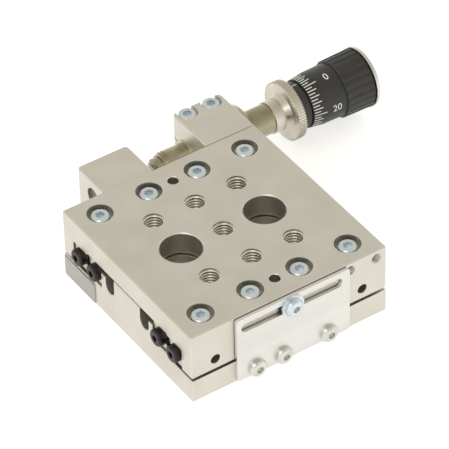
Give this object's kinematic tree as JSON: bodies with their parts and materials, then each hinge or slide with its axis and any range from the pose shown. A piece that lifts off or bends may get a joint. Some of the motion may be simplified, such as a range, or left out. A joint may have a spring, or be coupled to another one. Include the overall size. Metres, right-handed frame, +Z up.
{
  "type": "linear translation stage",
  "caption": "Steel linear stage with crossed roller rails, a tapped moving table, a slotted lock plate and a side micrometer screw with a black dial and knob.",
  "frame": {"origin": "middle of the underside of the base, with the table at mid travel", "axes": "+X along the travel, from the table towards the knob. +Y across the stage, towards the screw's side. +Z up, from the base to the table's top"},
  "size_m": [0.1126, 0.0885, 0.0235],
  "materials": {
    "base_plate": "nickel-plated steel, bead-blasted",
    "table": "nickel-plated steel, bead-blasted",
    "inner_rail_front": "hardened ground steel",
    "outer_rail_front": "hardened ground steel",
    "rollers_front": "hardened polished steel",
    "roller_cage_front": "pressed sheet",
    "inner_rail_back": "hardened ground steel",
    "outer_rail_back": "hardened ground steel",
    "rollers_back": "hardened polished steel",
    "roller_cage_back": "pressed sheet",
    "inner_rail_screws": "zinc-plated steel",
    "outer_rail_screws": "zinc-plated steel",
    "inner_rail_end_screws": "black oxide steel",
    "outer_rail_end_screws": "black oxide steel",
    "preload_screws": "black oxide steel",
    "return_springs": "spring wire",
    "base_spring_pins": "ground steel",
    "table_spring_pins": "ground steel",
    "lock_plate": "satin sheet steel",
    "lock_plate_screws": "nickel-plated steel",
    "lock_washer": "zinc-plated steel",
    "lock_screw": "zinc-plated steel",
    "label_plate": "bare satin plate",
    "screw_bracket": "nickel-plated steel, bead-blasted",
    "bracket_screws": "zinc-plated steel",
    "clamp_screws": "zinc-plated steel",
    "flanged_bush": "turned polished steel",
    "barrel": "ground polished steel",
    "spindle": "ground polished steel",
    "knurled_ring": "turned steel, knurled rim",
    "index_collar": "black anodised, white line",
    "thimble": "black anodised, white dial",
    "knob": "black anodised, fluted",
    "end_cap": "turned bright",
    "thrust_block": "nickel-plated steel, bead-blasted",
    "thrust_block_screws": "zinc-plated steel",
    "anvil_pin": "hardened ground steel",
    "thrust_plug": "plain steel"
  },
  "bodies": {
    "base": {"base_plate": "base_plate", "inner_rail_front": "inner_rail_front", "inner_rail_back": "inner_rail_back", "inner_rail_screws": "inner_rail_screws", "inner_rail_end_screws": "inner_rail_end_screws", "return_springs": "return_springs", "base_spring_pins": "base_spring_pins", "lock_plate": "lock_plate", "lock_plate_screws": "lock_plate_screws", "label_plate": "label_plate", "screw_bracket": "screw_bracket", "bracket_screws": "bracket_screws", "clamp_screws": "clamp_screws", "flanged_bush": "flanged_bush", "barrel": "barrel"},
    "table": {"table": "table", "outer_rail_front": "outer_rail_front", "outer_rail_back": "outer_rail_back", "outer_rail_screws": "outer_rail_screws", "outer_rail_end_screws": "outer_rail_end_screws", "preload_screws": "preload_screws", "table_spring_pins": "table_spring_pins", "thrust_block": "thrust_block", "thrust_block_screws": "thrust_block_screws", "anvil_pin": "anvil_pin", "thrust_plug": "thrust_plug"},
    "cage_front": {"roller_cage_front": "roller_cage_front", "rollers_front": "rollers_front"},
    "cage_back": {"roller_cage_back": "roller_cage_back", "rollers_back": "rollers_back"},
    "lock_screw": {"lock_screw": "lock_screw", "lock_washer": "lock_washer"},
    "index": {"index_collar": "index_collar"},
    "lock_ring": {"knurled_ring": "knurled_ring"},
    "thimble": {"thimble": "thimble", "spindle": "spindle", "knob": "knob", "end_cap": "end_cap"}
  },
  "joints": [
    {"name": "index_slide", "type": "slide", "parent": "base", "child": "index", "axis": [1, 0, 0], "range_m": [-0.0065, 0.0065]},
    {"name": "thimble_spin", "type": "hinge", "parent": "index", "child": "thimble", "pos_m": [0.062, 0.0432, 0.0127], "axis": [1, 0, 0], "range_deg": [-2340, 2340]},
    {"name": "lock_ring_turn", "type": "hinge", "parent": "index", "child": "lock_ring", "pos_m": [0.051, 0.0432, 0.0127], "axis": [1, 0, 0], "range_deg": [0, 60]},
    {"name": "table_slide", "type": "slide", "parent": "base", "child": "table", "axis": [1, 0, 0], "range_m": [-0.0065, 0.0065], "deforming": ["return_springs"]},
    {"name": "cage_front_slide", "type": "slide", "parent": "base", "child": "cage_front", "axis": [1, 0, 0], "range_m": [-0.00325, 0.00325]},
    {"name": "cage_back_slide", "type": "slide", "parent": "base", "child": "cage_back", "axis": [1, 0, 0], "range_m": [-0.00325, 0.00325]},
    {"name": "lock_screw_turn", "type": "hinge", "parent": "table", "child": "lock_screw", "pos_m": [0, -0.034, 0.0195], "axis": [0, -1, 0], "range_deg": [0, 180]}
  ],
  "couplings": [
    {"joint": "thimble_spin", "follows": "table_slide", "rad_per_m": 6283.2},
    {"joint": "index_slide", "follows": "table_slide", "ratio": 1},
    {"joint": "cage_front_slide", "follows": "table_slide", "ratio": 0.5},
    {"joint": "cage_back_slide", "follows": "table_slide", "ratio": 0.5}
  ]
}
